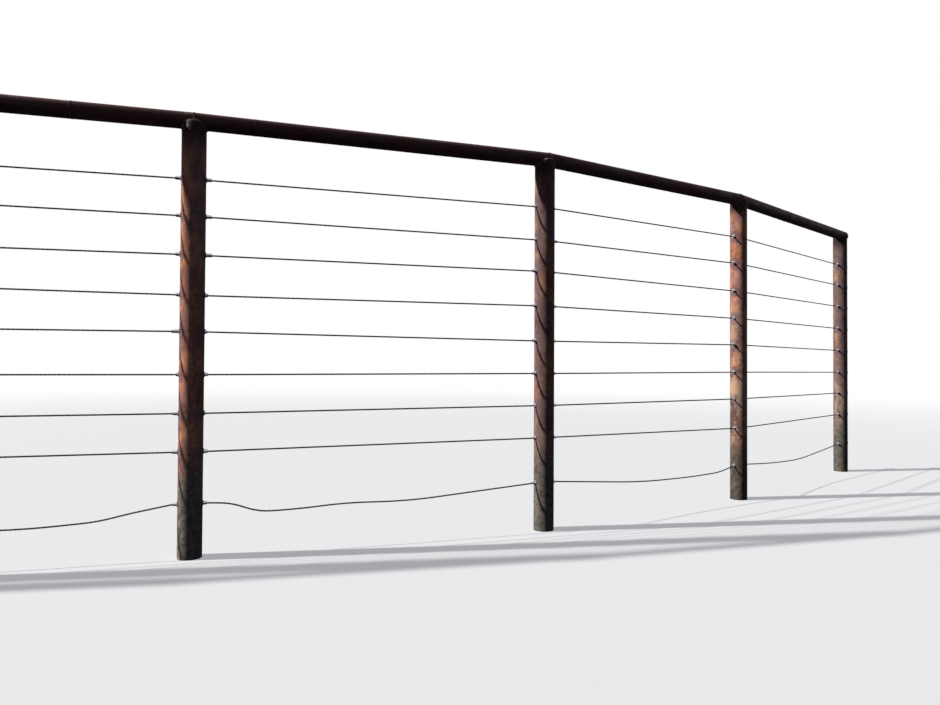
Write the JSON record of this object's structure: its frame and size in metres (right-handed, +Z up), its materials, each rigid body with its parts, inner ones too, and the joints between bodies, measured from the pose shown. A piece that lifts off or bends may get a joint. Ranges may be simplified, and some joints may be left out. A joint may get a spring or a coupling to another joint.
{
  "type": "pipe and cable cattle fence",
  "caption": "Curved run of a welded pipe and cable corral fence: rusty pipe posts with a notched-in pipe top rail and steel cables threaded through welded sleeves.",
  "frame": {"origin": "on the foot of the fourth post, in the middle of its front wall, at ground level", "axes": "+X along the fourth bay towards the fifth post, +Y away from the outer side of the fence, +Z up"},
  "size_m": [8.7512, 1.0512, 1.6747],
  "materials": {
    "post_steel": "rusted pipe steel, matt, with dark mill scale",
    "rail_steel": "dark maroon-brown weathered pipe steel",
    "cable_steel": "dull dark wire strand",
    "sleeve_steel": "rusted pipe cut-offs, welded in",
    "clip_steel": "dull galvanised forging"
  },
  "bodies": {
    "root": {"post_1": "post_steel", "post_2": "post_steel", "post_3": "post_steel", "post_4": "post_steel", "post_5": "post_steel", "post_6": "post_steel", "post_7": "post_steel", "rail_1": "rail_steel", "rail_2": "rail_steel", "rail_3": "rail_steel", "rail_4": "rail_steel", "rail_5": "rail_steel", "rail_6": "rail_steel", "rail_disc_left": "rail_steel", "rail_disc_right": "rail_steel", "cable_1": "cable_steel", "cable_2": "cable_steel", "cable_3": "cable_steel", "cable_4": "cable_steel", "cable_5": "cable_steel", "cable_6": "cable_steel", "cable_7": "cable_steel", "cable_8": "cable_steel", "cable_9": "cable_steel", "sleeves_1": "sleeve_steel", "sleeves_2": "sleeve_steel", "sleeves_3": "sleeve_steel", "sleeves_4": "sleeve_steel", "sleeves_5": "sleeve_steel", "sleeves_6": "sleeve_steel", "sleeves_7": "sleeve_steel", "clip_saddles_left": "clip_steel", "clip_saddles_right": "clip_steel", "clip_bolts_left": "clip_steel", "clip_bolts_right": "clip_steel"}
  },
  "joints": []
}
